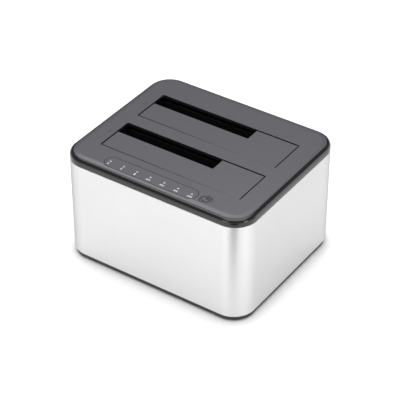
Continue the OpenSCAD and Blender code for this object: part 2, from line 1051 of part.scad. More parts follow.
module indicator_board() {
    color("darkgreen")
        difference() {
            block(
                [panel_left, row_y - panel_w / 2, panel_top - panel_t],
                [panel_right, row_y + panel_w / 2, panel_top]
            );
            at_panel_bosses()
                peg(0, 0, panel_top - panel_t - cut, small_screw_r + hole_gap, panel_t + 2 * cut);
        }
}

module indicator_lamps() {
    color("ivory")
        at_lamps()
            translate([-lamp_size[0] / 2, -lamp_size[1] / 2, panel_top])
                cube(lamp_size);
}

key_top = panel_top + key_h;
plunger_top = key_top + key_plunger_rise;

module key_switch() {
    color("#202022")
        difference() {
            translate([button_x - key_size / 2, row_y - key_size / 2, panel_top])
                cube([key_size, key_size, key_h]);
            peg(
                button_x, row_y, plunger_top - key_plunger_l - button_travel - seat_gap,
                key_plunger_r + run_gap, key_h
            );
        }
}

module key_plunger() {
    color("ivory")
        peg(button_x, row_y, plunger_top - key_plunger_l, key_plunger_r, key_plunger_l);
}

module power_button() {
    flange_top = under_z - seat_gap;
    flange_bottom = flange_top - button_flange_t;
    color("#6b6b71") {
        peg(button_x, row_y, flange_bottom, button_r, top_z - button_sink - flange_bottom);
        peg(button_x, row_y, flange_bottom, button_r + button_flange, button_flange_t);
        peg(button_x, row_y, plunger_top, button_stem_r, flange_bottom - plunger_top + cut);
    }
}

ribbon_low = board_top + ribbon_socket[2];
ribbon_high = panel_top - panel_t - ribbon_socket[2];

// Flat ribbon that bows a little towards the front
module ribbon_cable() {
    span = ribbon_high - ribbon_low;
    function bow(step) = row_y - ribbon_bow * sin(180 * step / ribbon_steps);
    front = [for (i = [0:ribbon_steps]) [bow(i) - ribbon_t / 2, ribbon_low + span * i / ribbon_steps]];
    back = [
        for (i = [ribbon_steps:-1:0])
            [bow(i) + ribbon_t / 2, ribbon_low + span * i / ribbon_steps]
    ];
    color("lightgray")
        translate([ribbon_x - ribbon_w / 2, 0, 0])
            rotate([90, 0, 90])
                linear_extrude(ribbon_w)
                    polygon(concat(front, back));
}

module ribbon_sockets() {
    corner = [ribbon_x - ribbon_socket[0] / 2, row_y - ribbon_socket[1] / 2];
    color("ivory")
        for (z = [board_top, ribbon_high])
            translate([corner[0], corner[1], z])
                cube(ribbon_socket);
}

// Fasteners

module case_screws() {
    seat = base_z + head_sink;
    color("dimgray")
        at_pillars()
            screw(
                seat, case_screw_r, floor_z + case_boss_h - seat + 2 * screw_grip,
                case_head_r, case_head_h
            );
}

module well_screws() {
    color("silver")
        at_lugs()
            screw(
                well_top - lug_t, small_screw_r, lug_t + screw_grip - cut,
                small_head_r, small_head_h
            );
}

module board_screws() {
    color("silver")
        at_posts()
            screw(board_z, small_screw_r, board_t + screw_grip - cut, small_head_r, small_head_h);
}

module indicator_screws() {
    color("silver")
        at_panel_bosses()
            screw(
                panel_top - panel_t, small_screw_r, panel_t + screw_grip - cut,
                small_head_r, small_head_h
            );
}

outer_sleeve();
top_bezel();
top_plate();
base_tray();
rubber_feet();
port_panel();
front_drive_well();
rear_drive_well();
front_flap();
rear_flap();
front_hinge_pin();
rear_hinge_pin();
front_flap_spring();
rear_flap_spring();
front_drive_socket();
rear_drive_socket();
drive_socket_contacts();
main_board();
bridge_chips();
power_coils();
capacitors();
usb_shell();
usb_tongue();
dc_jack();
dc_pin();
indicator_strip();
light_guide();
indicator_board();
indicator_lamps();
power_button();
key_switch();
key_plunger();
ribbon_cable();
ribbon_sockets();
case_screws();
well_screws();
board_screws();
indicator_screws();
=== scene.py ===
"""Dresses the two-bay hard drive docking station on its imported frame; sizes are millimetres."""

import logging
import math
from contextlib import contextmanager
from dataclasses import dataclass
from enum import Enum
from typing import Any, Callable, Iterator, Sequence

import bmesh
import bpy
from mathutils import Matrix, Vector


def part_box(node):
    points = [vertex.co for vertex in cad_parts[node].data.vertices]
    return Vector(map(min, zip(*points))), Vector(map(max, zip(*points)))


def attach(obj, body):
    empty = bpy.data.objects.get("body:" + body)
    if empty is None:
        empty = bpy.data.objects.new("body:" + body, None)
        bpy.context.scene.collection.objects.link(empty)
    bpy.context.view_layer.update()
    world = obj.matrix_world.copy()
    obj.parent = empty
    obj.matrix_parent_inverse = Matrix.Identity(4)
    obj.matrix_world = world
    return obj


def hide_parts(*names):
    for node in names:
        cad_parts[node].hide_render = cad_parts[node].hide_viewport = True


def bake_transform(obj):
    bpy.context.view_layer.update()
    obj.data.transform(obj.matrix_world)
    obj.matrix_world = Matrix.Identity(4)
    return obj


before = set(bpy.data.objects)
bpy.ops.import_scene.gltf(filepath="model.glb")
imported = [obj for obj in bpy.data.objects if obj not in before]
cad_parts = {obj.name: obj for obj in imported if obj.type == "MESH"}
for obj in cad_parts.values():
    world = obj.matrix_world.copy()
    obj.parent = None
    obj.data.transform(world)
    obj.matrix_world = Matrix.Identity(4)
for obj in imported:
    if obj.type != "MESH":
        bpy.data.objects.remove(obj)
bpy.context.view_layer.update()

LOG = logging.getLogger("docking_station")
MM = 0.001
# A cut reaches past the face that it opens, and a joined part into the one that carries it
PAST = 1.0
ROOT = 0.5
# How far ink stands above the face below it, and the facets on the curves of its type
INK_RISE = 0.02
TYPE_STEPS = 4
# A direction counts as along an axis from this share of its length, and two places as one within this
ALONG = 0.9
NEAR = 0.01
# Edges sharper than the first angle are broken, and past the second they don't shade smooth; then the facets
# across a broken edge
BREAK_ANGLE = math.radians(40)
SHARP_ANGLE = math.radians(50)
EDGE_STEPS = 3
FINE_STEPS = 2
# Points of a mesh that lie nearer than this, in metres, are one
MERGE = 1e-6
# Flat sides of round bars and holes, from the thinnest to the widest
PIN_SIDES = 24
HOLE_SIDES = 32
PEG_SIDES = 48
FULL_SIDES = 64

Piece = bpy.types.Object
Tree = bpy.types.NodeTree
Socket = bpy.types.NodeSocket
Point = Sequence[float]
Pair = tuple[float, float]
Test = Callable[[Vector, Vector], bool]


class Body(Enum):
    """Bodies that a piece can ride on."""

    HOUSING = "housing"
    FRONT_FLAP = "front_flap"
    REAR_FLAP = "rear_flap"
    BUTTON = "power_button"


class Pick(Enum):
    """Kinds of mesh element that are picked in edit mode."""

    EDGES = "EDGE"
    FACES = "FACE"


class Axis(Enum):
    """Directions of the shared frame, by their place in a vector."""

    X = 0
    Y = 1
    Z = 2


# Modelling by hand: starts, edges, cuts and finishing


def focus(piece: Piece) -> None:
    """Makes a piece the only selected and the active one.

    Args:
        piece: The piece to work on.
    """
    bpy.ops.object.select_all(action="DESELECT")
    piece.select_set(True)
    bpy.context.view_layer.objects.active = piece


def named(name: str) -> Piece:
    """Settles a fresh primitive at the origin and names it.

    Args:
        name: Name of the piece and its mesh.

    Returns:
        The active object, with its place in its mesh.
    """
    bpy.ops.object.transform_apply(location=True, rotation=True, scale=True)
    piece = bpy.context.object
    piece.name = name
    piece.data.name = name
    return piece


def block(name: str, low: Point, high: Point) -> Piece:
    """Adds a block as the start of a piece.

    Args:
        name: Name of the piece.
        low: Lowest corner.
        high: Highest corner.

    Returns:
        The new piece.
    """
    bpy.ops.object.select_all(action="DESELECT")
    middle = [(a + b) / 2 * MM for a, b in zip(low, high)]
    size = [(b - a) * MM for a, b in zip(low, high)]
    bpy.ops.mesh.primitive_cube_add(size=1, location=middle, scale=size)
    return named(name)


def drum(
    name: str, base: Point, radius: float, length: float, axis: Axis = Axis.Z, sides: int = FULL_SIDES
) -> Piece:
    """Adds a round bar as the start of a piece.

    Args:
        name: Name of the piece.
        base: Centre of the lower end.
        radius: Radius.
        length: Length along the axis.
        axis: Direction of the bar.
        sides: Number of flat sides.

    Returns:
        The new piece.
    """
    bpy.ops.object.select_all(action="DESELECT")
    middle = [value * MM for value in base]
    middle[axis.value] += length / 2 * MM
    turn = {Axis.X: (0, math.pi / 2, 0), Axis.Y: (math.pi / 2, 0, 0), Axis.Z: (0, 0, 0)}[axis]
    bpy.ops.mesh.primitive_cylinder_add(
        vertices=sides, radius=radius * MM, depth=length * MM, location=middle, rotation=turn
    )
    return named(name)


@contextmanager
def editing(piece: Piece, kind: Pick, test: Test) -> Iterator[None]:
    """Opens a piece in edit mode with part of it selected.

    Args:
        piece: The piece to edit.
        kind: Whether edges or faces are picked.
        test: Says from the middle, and the direction or normal, what is picked.

    Yields:
        Nothing; the mode is left when the block ends.
    """
    focus(piece)
    bpy.ops.object.mode_set(mode="EDIT")
    bpy.ops.mesh.select_mode(type=kind.value)
    bpy.ops.mesh.select_all(action="DESELECT")
    mesh = bmesh.from_edit_mesh(piece.data)
    if kind is Pick.EDGES:
        for edge in mesh.edges:
            ends = [corner.co for corner in edge.verts]
            if test((ends[0] + ends[1]) / 2 / MM, (ends[1] - ends[0]).normalized()):
                edge.select_set(True)
    else:
        for face in mesh.faces:
            if test(face.calc_center_median() / MM, face.normal):
                face.select_set(True)
    bmesh.update_edit_mesh(piece.data)
    yield
    bpy.ops.object.mode_set(mode="OBJECT")


def everything(middle: Vector, way: Vector) -> bool:
    """Picks every edge or face."""
    return True


def round_rim(piece: Piece, height: float, radius: float, steps: int) -> None:
    """Rounds the edges that lie at one height, with a number of facets."""
    with editing(piece, Pick.EDGES, lambda middle, way: abs(middle.z - height) < NEAR and abs(way.z) < NEAR):
        bpy.ops.mesh.bevel(offset=radius * MM, segments=steps, profile=0.5, affect="EDGES")


def rounded_block(
    name: str, low: Point, high: Point, radius: float, steps: int, axis: Axis = Axis.Z
) -> Piece:
    """Adds a block whose edges along one axis are round.

    Args:
        name: Name of the piece.
        low: Lowest corner.
        high: Highest corner.
        radius: Radius of the round edges.
        steps: Number of facets on each round.
        axis: Direction of the round edges.

    Returns:
        The new piece.
    """
    piece = block(name, low, high)
    with editing(piece, Pick.EDGES, lambda middle, way: abs(way[axis.value]) > ALONG):
        bpy.ops.mesh.bevel(offset=radius * MM, segments=steps, profile=0.5, affect="EDGES")
    return piece


def finish_with(piece: Piece, kind: str, **settings: Any) -> None:
    """Adds a modifier and applies it.

    Args:
        piece: The piece.
        kind: Blender's name for the modifier.
        settings: Values of the modifier.
    """
    focus(piece)
    modifier = piece.modifiers.new(kind.lower(), kind)
    for name, value in settings.items():
        setattr(modifier, name, value)
    bpy.ops.object.modifier_apply(modifier=modifier.name)


def combine(piece: Piece, operation: str, others: Sequence[Piece]) -> None:
    """Joins other pieces to a piece, or cuts them out of it, and removes them.

    Args:
        piece: The piece that stays.
        operation: UNION or DIFFERENCE.
        others: The pieces that are used up.
    """
    for other in others:
        finish_with(piece, "BOOLEAN", operation=operation, solver="EXACT", object=other)
        bpy.data.objects.remove(other)


def fuse(piece: Piece, *others: Piece) -> None:
    """Joins other pieces to a piece."""
    combine(piece, "UNION", others)


def cut(piece: Piece, *others: Piece) -> None:
    """Cuts other pieces out of a piece."""
    combine(piece, "DIFFERENCE", others)


def soften(piece: Piece, width: float, steps: int = EDGE_STEPS) -> None:
    """Breaks every sharp edge, as a mould or a deburring tool does.

    Args:
        piece: The piece.
        width: Width of the broken edge.
        steps: Number of facets across it.
    """
    finish_with(
        piece, "BEVEL", width=width * MM, segments=steps, limit_method="ANGLE",
        angle_limit=BREAK_ANGLE, use_clamp_overlap=False, miter_outer="MITER_ARC",
    )


def smooth(piece: Piece) -> None:
    """Shades a piece smooth, with its large faces kept flat to the eye."""
    focus(piece)
    bpy.ops.object.shade_smooth_by_angle(angle=SHARP_ANGLE)
    finish_with(piece, "WEIGHTED_NORMAL", keep_sharp=True)


def copied(piece: Piece, name: str, shift: Point) -> Piece:
    """Copies a piece with a mesh of its own.

    Args:
        piece: The piece to copy.
        name: Name of the copy.
        shift: Way from the piece to its copy.

    Returns:
        The copy, with its place in its mesh.
    """
    focus(piece)
    bpy.ops.object.duplicate(linked=False)
    bpy.ops.transform.translate(value=[value * MM for value in shift])
    return named(name)


# Materials


def linear(code: str) -> tuple[float, float, float, float]:
    """Turns an sRGB hex colour into linear light.

    Args:
        code: Colour such as #336699.

    Returns:
        Linear red, green and blue, and full alpha.
    """
    shares = [int(code[i:i + 2], 16) / 255 for i in (1, 3, 5)]
    light = [s / 12.92 if s <= 0.04045 else ((s + 0.055) / 1.055) ** 2.4 for s in shares]
    return light[0], light[1], light[2], 1.0


def add(
    tree: Tree, kind: str, inputs: dict[str | int, Any] | None = None, **settings: Any
) -> bpy.types.Node:
    """Adds a node with its settings and links.

    Args:
        tree: The node tree.
        kind: Blender's name for the node.
        inputs: Sockets by name or number, each with a value or the socket that feeds it.
        settings: Properties of the node.

    Returns:
        The new node.
    """
    made = tree.nodes.new(kind)
    for name, value in settings.items():
        setattr(made, name, value)
    for key, value in (inputs or {}).items():
        if isinstance(value, Socket):
            tree.links.new(value, made.inputs[key])
        else:
            made.inputs[key].default_value = value
    return made


def figure(tree: Tree, operation: str, first: Any, second: Any) -> Socket:
    """Adds a node that works out one number from two, which are values or sockets, and gives its socket."""
    return add(tree, "ShaderNodeMath", {0: first, 1: second}, operation=operation).outputs[0]


def noise(tree: Tree, place: Socket, size: float, detail: float) -> Socket:
    """Adds a noise with grains of a size and gives its level."""
    inputs = {"Vector": place, "Scale": 1 / (size * MM), "Detail": detail}
    return add(tree, "ShaderNodeTexNoise", inputs).outputs["Fac"]


@dataclass(frozen=True)
class Finish:
    """Surface of one real material: its colour, its gloss and the relief that its making leaves.

    The colour drifts between two close tones over patches of drift_mm. The relief has grains of grain_mm,
    stretched along an axis where the surface was brushed, and the dull and bright spots follow it.
    """

    name: str
    colour: str
    tone: str
    roughness: Pair
    grain_mm: float
    relief_mm: float
    drift_mm: float = 40.0
    metallic: float = 0.0
    ior: float = 1.5
    stretch: tuple[float, float, float] = (1.0, 1.0, 1.0)
    extras: tuple[tuple[str, Any], ...] = ()
    grain_span: Pair = (0.3, 0.7)
    drift_detail: float = 3.0
    grain_detail: float = 2.0

    def material(self) -> bpy.types.Material:
        """Makes the material, once.

        Returns:
            The material with this finish's name.
        """
        made = bpy.data.materials.get(self.name)
        if made:
            return made
        made = bpy.data.materials.new(self.name)
        made.use_nodes = True
        tree = made.node_tree
        tree.nodes.clear()
        place = add(tree, "ShaderNodeTexCoord").outputs["Object"]
        drift = noise(tree, place, self.drift_mm, self.drift_detail)
        colour = add(
            tree, "ShaderNodeMix", {0: drift, 6: linear(self.colour), 7: linear(self.tone)}, data_type="RGBA"
        )
        turned = add(tree, "ShaderNodeMapping", {"Vector": place, "Scale": self.stretch})
        grain = noise(tree, turned.outputs["Vector"], self.grain_mm, self.grain_detail)
        gloss = add(
            tree, "ShaderNodeMapRange",
            {
                "Value": grain, "From Min": self.grain_span[0], "From Max": self.grain_span[1],
                "To Min": self.roughness[0], "To Max": self.roughness[1],
            },
        )
        relief = add(tree, "ShaderNodeBump", {"Height": grain, "Distance": self.relief_mm * MM})
        skin = add(
            tree, "ShaderNodeBsdfPrincipled",
            {
                "Base Color": colour.outputs[2], "Roughness": gloss.outputs["Result"],
                "Normal": relief.outputs["Normal"], "Metallic": self.metallic, "IOR": self.ior,
                **dict(self.extras),
            },
        )
        add(tree, "ShaderNodeOutputMaterial", {"Surface": skin.outputs["BSDF"]})
        return made


# Anodised aluminium with hairlines round the sleeve: a bright silver whose reflections are drawn out upwards
# into bands at the corners; the hairlines are coarser than real ones so that they show
ALUMINIUM = Finish(
    "hairline_anodised_aluminium", "#E3E3E3", "#DEDEDF", (0.34, 0.40), 0.9, 0.0015, 60.0, 1.0,
    stretch=(0.02, 0.02, 1.0),
    extras=(("Anisotropic", 0.7), ("Anisotropic Rotation", 0.25), ("Specular Tint", linear("#B4B4B4"))),
)
# ABS from a polished mould: black, with clear reflections that ripple a little over the round shoulder
GLOSS_ABS = Finish("polished_black_abs", "#141416", "#18181A", (0.07, 0.11), 6.0, 0.002, 30.0, ior=1.58)
# ABS from a fine-etched mould: dark grey, slightly blue, with a broad soft sheen; the etching is coarser than
# a real one so that it shows
SATIN_ABS = Finish("etched_grey_abs", "#48484E", "#4C4C52", (0.29, 0.35), 0.6, 0.003, 45.0, ior=1.53)
# ABS with a coarser moulded grain, dull and nearly black
GRAIN_ABS = Finish("grained_dark_abs", "#2C2C2E", "#323235", (0.50, 0.62), 0.7, 0.012, 30.0, ior=1.53)
# Black ABS of inner mouldings, plain and half dull; it is also painted shade on the walls of the plate's
# openings and on the flaps' edges
BLACK_ABS = Finish("plain_black_abs", "#0D0D0E", "#121213", (0.45, 0.55), 1.2, 0.004, 25.0, ior=1.53)
# Moulded rubber: black, without gloss, with a powdery bloom in patches
RUBBER = Finish("moulded_rubber", "#161616", "#1F1E1D", (0.75, 0.9), 0.5, 0.015, 4.0, ior=1.52)
# Zinc-plated steel of screws and pins: bluish grey, with a fine mottle
STEEL = Finish("zinc_plated_steel", "#B9BABD", "#A9ABB0", (0.25, 0.40), 0.6, 0.003, 3.0, 1.0)
# Drawn spring wire: darker steel
WIRE = Finish("drawn_spring_steel", "#8E8F93", "#7C7D82", (0.25, 0.38), 0.4, 0.002, 2.0, 1.0)
# Gold flashed on contacts: warm and soft
GOLD = Finish("gold_flashed_contacts", "#E2B964", "#D2A44E", (0.22, 0.34), 0.3, 0.001, 2.0, 1.0)
# Green solder mask: half gloss, a little uneven
MASK = Finish("green_solder_mask", "#12512C", "#0F4526", (0.28, 0.40), 1.0, 0.006, 6.0, ior=1.55)
# Moulded epoxy of chips and chokes: charcoal and dull
EPOXY = Finish("moulded_epoxy", "#1B1B1D", "#242426", (0.55, 0.7), 0.4, 0.006, 3.0, ior=1.55)
# Shrunk vinyl sleeve of capacitors: dark blue with a slight gloss
VINYL = Finish("shrunk_vinyl_sleeve", "#232B4A", "#2B3457", (0.25, 0.35), 3.0, 0.004, 5.0, ior=1.53)
# Nylon of the port's tongue: blue and half dull
BLUE_NYLON = Finish("blue_nylon", "#1B4A9A", "#1F52A8", (0.4, 0.5), 0.6, 0.004, 4.0, ior=1.53)
# Clear acrylic with frosted ends: milky white where the lamps show
ACRYLIC = Finish(
    "frosted_acrylic", "#C6C8CC", "#BDC0C5", (0.30, 0.42), 0.5, 0.003, 3.0, ior=1.49,
    extras=(("Transmission Weight", 0.25),),
)
# Ivory nylon of lamp bodies and small connectors
IVORY = Finish("ivory_nylon", "#DCD6C4", "#D3CCB8", (0.45, 0.55), 0.6, 0.004, 4.0, ior=1.53)
# Flat lead with a film of polyester: pale grey, with the conductors as fine lines
RIBBON = Finish(
    "polyester_ribbon", "#B5B6B8", "#A6A7AA", (0.3, 0.45), 1.0, 0.02, 3.0, stretch=(1.0, 0.05, 0.05)
)
# Screen ink: thin, even and dull, pale grey
INK = Finish("pale_screen_ink", "#EDEDF0", "#E4E4E8", (0.5, 0.6), 0.3, 0.001, 3.0)
# Ink of the sunk sign, darker than the moulding round it
DARK_INK = Finish("dark_screen_ink", "#101012", "#161618", (0.5, 0.6), 0.3, 0.001, 3.0)
# Ink of the bay marks, close to the moulding's own tone
TONE_INK = Finish("tone_screen_ink", "#323236", "#38383C", (0.5, 0.6), 0.3, 0.001, 3.0)


def printed(name: str, words: str, place: Point, size: float, spread: float) -> Piece:
    """Prints words on a level face, to be read from the front.

    Args:
        name: Name of the piece.
        words: What is printed.
        place: Middle of the words.
        size: Height of the type.
        spread: How far the ink spreads beyond the type's outline.

    Returns:
        The words as a mesh.
    """
    bpy.ops.object.select_all(action="DESELECT")
    bpy.ops.object.text_add()
    ink = bpy.context.object.data
    ink.body = words
    ink.align_x = "CENTER"
    ink.align_y = "CENTER"
    ink.size = size * MM
    ink.offset = spread * MM
    ink.extrude = INK_RISE * MM
    ink.resolution_u = TYPE_STEPS
    bpy.ops.object.convert(target="MESH")
    bpy.context.object.location = [value * MM for value in place]
    return named(name)


def coat(piece: Piece, finish: Finish, slot: str, *nodes: str) -> None:
    """Gives a piece that has its body its material, hides the nodes that it stands for, and reports it.

    Args:
        piece: The piece.
        finish: Its surface.
        slot: Not used.
        nodes: Nodes that it replaces.
    """
    piece.data.materials.clear()
    piece.data.materials.append(finish.material())
    if nodes:
        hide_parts(*nodes)
    LOG.info("%s: %d faces, %s", piece.name, len(piece.data.polygons), finish.name)


def dress(piece: Piece, finish: Finish, body: Body, slot: str, *nodes: str) -> None:
    """Lets a finished piece move with its body and coats it."""
    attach(piece, body.value)
    coat(piece, finish, slot, *nodes)


def paint_shade_on(piece: Piece, finish: Finish, test: Test) -> None:
    """Paints shade on the faces of a dressed piece that lie in its openings and gaps, as a second, dark
    finish.

    Args:
        piece: A dressed piece.
        finish: The dark finish that stands for the shade.
        test: Tells from a face's middle and its normal whether shade is painted on it.
    """
    piece.data.materials.append(finish.material())
    piece.active_material_index = len(piece.data.materials) - 1
    with editing(piece, Pick.FACES, test):
        bpy.ops.object.material_slot_assign()


# Sub-assemblies


@dataclass
class Shell:
    """Aluminium sleeve, glossy bezel and port panel, on the outline of the body."""

    width: float = 134.0
    depth: float = 111.0
    corner: float = 15.0
    sleeve_low: float = 4.0
    sleeve_high: float = 72.0
    sleeve_wall: float = 1.5
    sleeve_edge: float = 0.25
    bezel_high: float = 77.3
    bezel_round: float = 3.0
    bezel_inset: float = 2.1
    bezel_edge: float = 0.12
    bezel_steps: int = 16
    reveal: float = 0.35
    skirt_inset: float = 1.65
    skirt_wall: float = 1.4
    skirt_low: float = 67.0
    ledge_inset: float = 3.6
    ledge_low: float = 73.6
    plate_low: float = 75.2
    port_width: float = 56.0
    port_height: float = 16.0
    port_low: float = 7.4
    port_round: float = 3.0
    port_gap: float = 0.15
    port_flange: float = 2.0
    port_flange_wall: float = 1.2
    port_sink: float = 0.3
    port_edge: float = 0.1
    port_steps: int = 10
    port_reach: float = 10.0
    jack_x: float = 14.0
    jack_z: float = 15.8
    jack_hole: float = 4.2
    jack_depth: float = 6.0
    corner_steps: int = 40

    def outline(self, name: str, inset: float, low: float, high: float) -> Piece:
        """Adds a block on the body's outline.

        Args:
            name: Name of the piece.
            inset: How far it stands back from the outline.
            low: Lower height.
            high: Upper height.

        Returns:
            The new piece.
        """
        x = self.width / 2 - inset
        y = self.depth / 2 - inset
        return rounded_block(name, (-x, -y, low), (x, y, high), self.corner - inset, self.corner_steps)

    def port_block(self, name: str, grow: float, front: float, back: float) -> Piece:
        """Adds a block through the back wall with the port panel's outline.

        Args:
            name: Name of the piece.
            grow: How far it stands out beyond the opening.
            front: Its near face, along Y.
            back: Its far face, along Y.

        Returns:
            The new piece.
        """
        x = self.port_width / 2 + grow
        low = self.port_low - grow
        high = self.port_low + self.port_height + grow
        radius = self.port_round + min(grow, 0)
        return rounded_block(name, (-x, front, low), (x, back, high), radius, self.port_steps, Axis.Y)

    def build_sleeve(self) -> None:
        """Models the sleeve: a folded wall, open above and below, with the port opening cut in its back."""
        piece = self.outline("aluminium_sleeve", 0.0, self.sleeve_low, self.sleeve_high)
        with editing(piece, Pick.FACES, lambda middle, normal: abs(normal.z) > ALONG):
            bpy.ops.mesh.delete(type="FACE")
        finish_with(piece, "SOLIDIFY", thickness=self.sleeve_wall * MM, offset=-1.0, use_even_offset=True)
        back = self.depth / 2
        cut(piece, self.port_block("port_cut", 0.0, back - self.port_reach, back + self.port_reach))
        soften(piece, self.sleeve_edge)
        smooth(piece)
        dress(piece, ALUMINIUM, Body.HOUSING, "aluminium", "outer_sleeve")

    def build_bezel(self) -> None:
        """Models the bezel: a round shoulder with a shadow gap below, a skirt in the sleeve and a ledge."""
        low = self.sleeve_high + self.reveal
        piece = self.outline("gloss_bezel", 0.0, low, self.bezel_high)
        round_rim(piece, self.bezel_high, self.bezel_round, self.bezel_steps)
        with editing(piece, Pick.FACES, lambda middle, normal: normal.z < -ALONG):
            bpy.ops.mesh.inset(thickness=self.reveal * MM)
            bpy.ops.mesh.extrude_region_move(TRANSFORM_OT_translate={"value": (0, 0, -self.reveal * MM)})
            bpy.ops.mesh.inset(thickness=(self.skirt_inset - self.reveal) * MM)
            drop = self.skirt_low - self.sleeve_high
            bpy.ops.mesh.extrude_region_move(TRANSFORM_OT_translate={"value": (0, 0, drop * MM)})
        skirt = self.skirt_inset + self.skirt_wall
        cut(
            piece,
            self.outline("skirt_cut", skirt, self.skirt_low - PAST, self.ledge_low),
            self.outline("ledge_cut", self.ledge_inset, self.ledge_low - PAST, self.plate_low + PAST),
            self.outline("plate_cut", self.bezel_inset, self.plate_low, self.bezel_high + PAST),
        )
        soften(piece, self.bezel_edge, FINE_STEPS)
        smooth(piece)
        dress(piece, GLOSS_ABS, Body.HOUSING, "gloss_black", "top_bezel")

    def build_port_panel(self) -> None:
        """Models the port panel: a plate in the sleeve's opening with a flange behind it and two holes."""
        seat_y = self.depth / 2 - self.sleeve_wall - self.port_gap
        flange_y = seat_y - self.port_flange_wall
        face_y = self.depth / 2 - self.port_sink
        piece = self.port_block("port_plate", -self.port_gap, flange_y, face_y)
        fuse(piece, self.port_block("port_flange", self.port_flange, flange_y, seat_y))
        low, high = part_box("usb_shell")
        x = (low.x + high.x) / 2 / MM
        half = (high.x - low.x) / 2 / MM + self.port_gap
        jack = (self.jack_x, flange_y - PAST, self.jack_z)
        cut(
            piece,
            block(
                "usb_cut", (x - half, flange_y - PAST, low.z / MM - self.port_gap),
                (x + half, face_y + PAST, high.z / MM + self.port_gap),
            ),
            drum("jack_cut", jack, self.jack_hole, self.jack_depth, Axis.Y),
        )
        soften(piece, self.port_edge, FINE_STEPS)
        smooth(piece)
        dress(piece, GRAIN_ABS, Body.HOUSING, "dark_plastic", "port_panel")

    def build(self) -> None:
        """Builds the sleeve, the bezel and the port panel."""
        self.build_sleeve()
        self.build_bezel()
        self.build_port_panel()


@dataclass(frozen=True)
class Bay:
    """One drive bay: where it lies and how its flap hangs."""

    name: str
    front: float
    body: Body
    half: float = 51.5
    width: float = 28.9
    corner: float = 1.0
    corner_steps: int = 6
    slot_end: float = 20.6
    slot_width: float = 11.5
    hinge_setback: float = 1.6
    hinge_height: float = 74.6

    @property
    def back(self) -> float:
        """Gives the far side of the opening."""
        return self.front + self.width

    @property
    def middle(self) -> float:
        """Gives the middle of the opening, along Y."""
        return self.front + self.width / 2

    @property
    def hinge(self) -> float:
        """Gives the hinge line's place along Y."""
        return self.front - self.hinge_setback


BAYS = (Bay("front", -34.6, Body.FRONT_FLAP), Bay("rear", 4.3, Body.REAR_FLAP))
BAY_PITCH = BAYS[1].front - BAYS[0].front


@dataclass
class IndicatorRow:
    """Inlaid strip with its seven lamps and their printed labels."""

    first_x: float = -35.0
    pitch: float = 10.0
    y: float = -45.9
    high: float = 77.6
    low: float = 76.5
    end: float = 3.6
    width: float = 9.8
    hole: float = 0.72
    end_steps: int = 24
    end_flat: float = 0.001
    edge: float = 0.2
    label_y: float = -48.7
    sign_type: Pair = (2.3, 0.12)
    share_type: Pair = (1.8, 0.02)
    labels: tuple[str, ...] = ("I", "1", "2", "25%", "50%", "75%", "100%")

    def lamp_x(self, lamp: int) -> float:
        """Gives a lamp's place along X."""
        return self.first_x + lamp * self.pitch

    def capsule(self, name: str, grow: float, low: float, high: float) -> Piece:
        """Adds a block with round ends on the strip's outline.

        Args:
            name: Name of the piece.
            grow: How far it stands out beyond the strip.
            low: Lower height.
            high: Upper height.

        Returns:
            The new piece.
        """
        left = self.lamp_x(0) - self.end - grow
        right = self.lamp_x(len(self.labels) - 1) + self.end + grow
        half = self.width / 2 + grow
        start, stop = (left, self.y - half, low), (right, self.y + half, high)
        return rounded_block(name, start, stop, half - self.end_flat, self.end_steps)

    def build(self) -> None:
        """Models the strip and prints the labels."""
        piece = self.capsule("indicator_inlay", 0.0, self.low, self.high)
        through = self.high - self.low + 2 * PAST
        for lamp in range(len(self.labels)):
            spot = (self.lamp_x(lamp), self.y, self.low - PAST)
            cut(piece, drum("lamp_cut", spot, self.hole, through, sides=HOLE_SIDES))
        soften(piece, self.edge, FINE_STEPS)
        smooth(piece)
        dress(piece, SATIN_ABS, Body.HOUSING, "satin_grey", "indicator_strip")
        for lamp, words in enumerate(self.labels):
            place = (self.lamp_x(lamp), self.label_y, self.high)
            size, spread = self.share_type if words.endswith("%") else self.sign_type
            label = printed(f"lamp_label_{lamp + 1}", words, place, size, spread)
            dress(label, INK, Body.HOUSING, "satin_grey")


